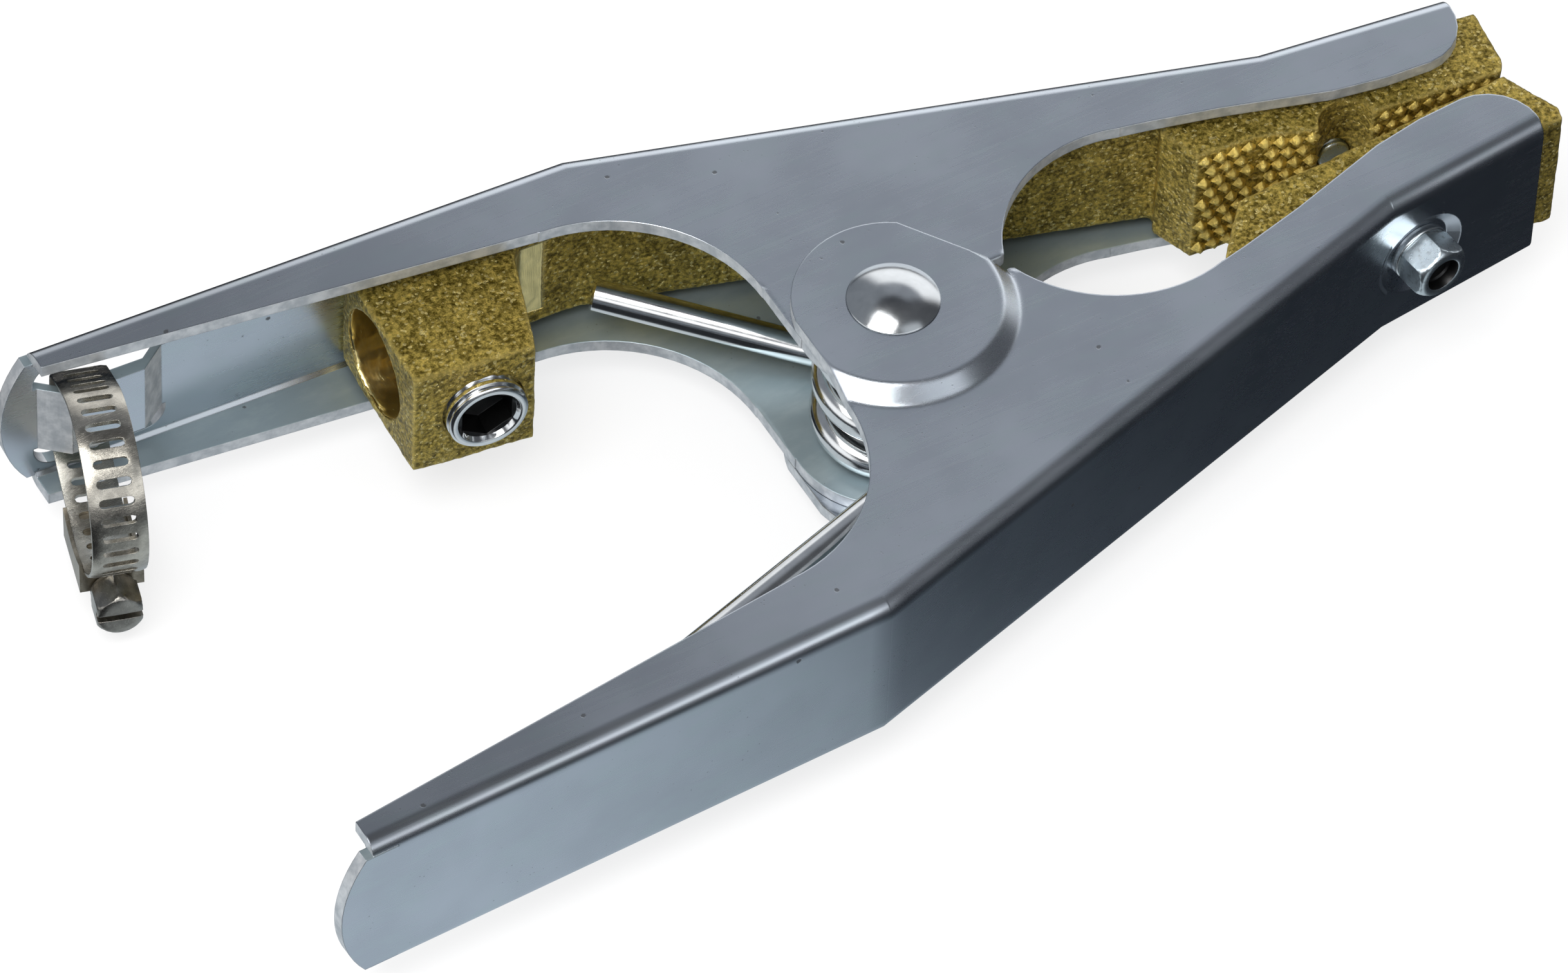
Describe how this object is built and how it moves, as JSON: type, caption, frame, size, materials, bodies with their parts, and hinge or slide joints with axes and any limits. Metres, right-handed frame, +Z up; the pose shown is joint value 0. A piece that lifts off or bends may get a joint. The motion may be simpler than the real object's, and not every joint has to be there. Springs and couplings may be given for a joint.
{
  "type": "ground clamp",
  "caption": "Spring-loaded scissor clamp with sheet-metal arms, brass jaws, a cable lug with a set screw and a hose clamp for strain relief.",
  "frame": {"origin": "on the pivot axis, at the flat of the lower rivet head on which the clamp rests on its side", "axes": "+X towards the jaws, +Y towards the arm that carries the cable, +Z up along the pivot axis"},
  "size_m": [0.2197, 0.1019, 0.0384],
  "materials": {
    "zinc_sheet": "satin zinc-plated sheet with a faint blue tint",
    "cast_brass": "sand-cast brass with bright worn edges",
    "bright_steel": "bright nickel-plated steel",
    "dull_steel": "plain turned steel",
    "zinc_hardware": "bright zinc-plated steel",
    "stainless": "rolled stainless strip with a warm tint"
  },
  "bodies": {
    "cable_side": {"cable_arm": "zinc_sheet", "conductor_casting": "cast_brass", "upper_jaw_bolt": "zinc_hardware", "upper_spring_washer": "zinc_hardware", "pivot_rivet": "bright_steel", "pivot_sleeve": "dull_steel", "torsion_spring": "bright_steel"},
    "jaw_side": {"jaw_arm": "zinc_sheet", "lower_jaw_pad": "cast_brass", "lower_jaw_bolt": "zinc_hardware", "lower_spring_washer": "zinc_hardware"},
    "set_screw": {"cable_set_screw": "bright_steel"},
    "hose_clamp": {"hose_clamp_band": "stainless", "hose_clamp_housing": "stainless"},
    "worm_screw": {"hose_clamp_screw": "stainless"}
  },
  "joints": [
    {"name": "jaw_hinge", "type": "hinge", "parent": "cable_side", "child": "jaw_side", "pos_m": [0, 0, 0.0198], "axis": [0, 0, -1], "range_deg": [0, 28], "deforming": ["torsion_spring"]},
    {"name": "set_screw_slide", "type": "slide", "parent": "cable_side", "child": "set_screw", "axis": [0.1357, 0.9907, 0], "range_m": [-0.002, 0.006]},
    {"name": "hose_clamp_swing", "type": "hinge", "parent": "cable_side", "child": "hose_clamp", "pos_m": [-0.1028, 0.0484, 0.0198], "axis": [0, 0, 1], "range_deg": [-1, 11]},
    {"name": "worm_screw_turn", "type": "hinge", "parent": "hose_clamp", "child": "worm_screw", "pos_m": [-0.10774, 0.03276, 0.00554], "axis": [0.275, 0.9589, -0.0698], "continuous": true}
  ]
}
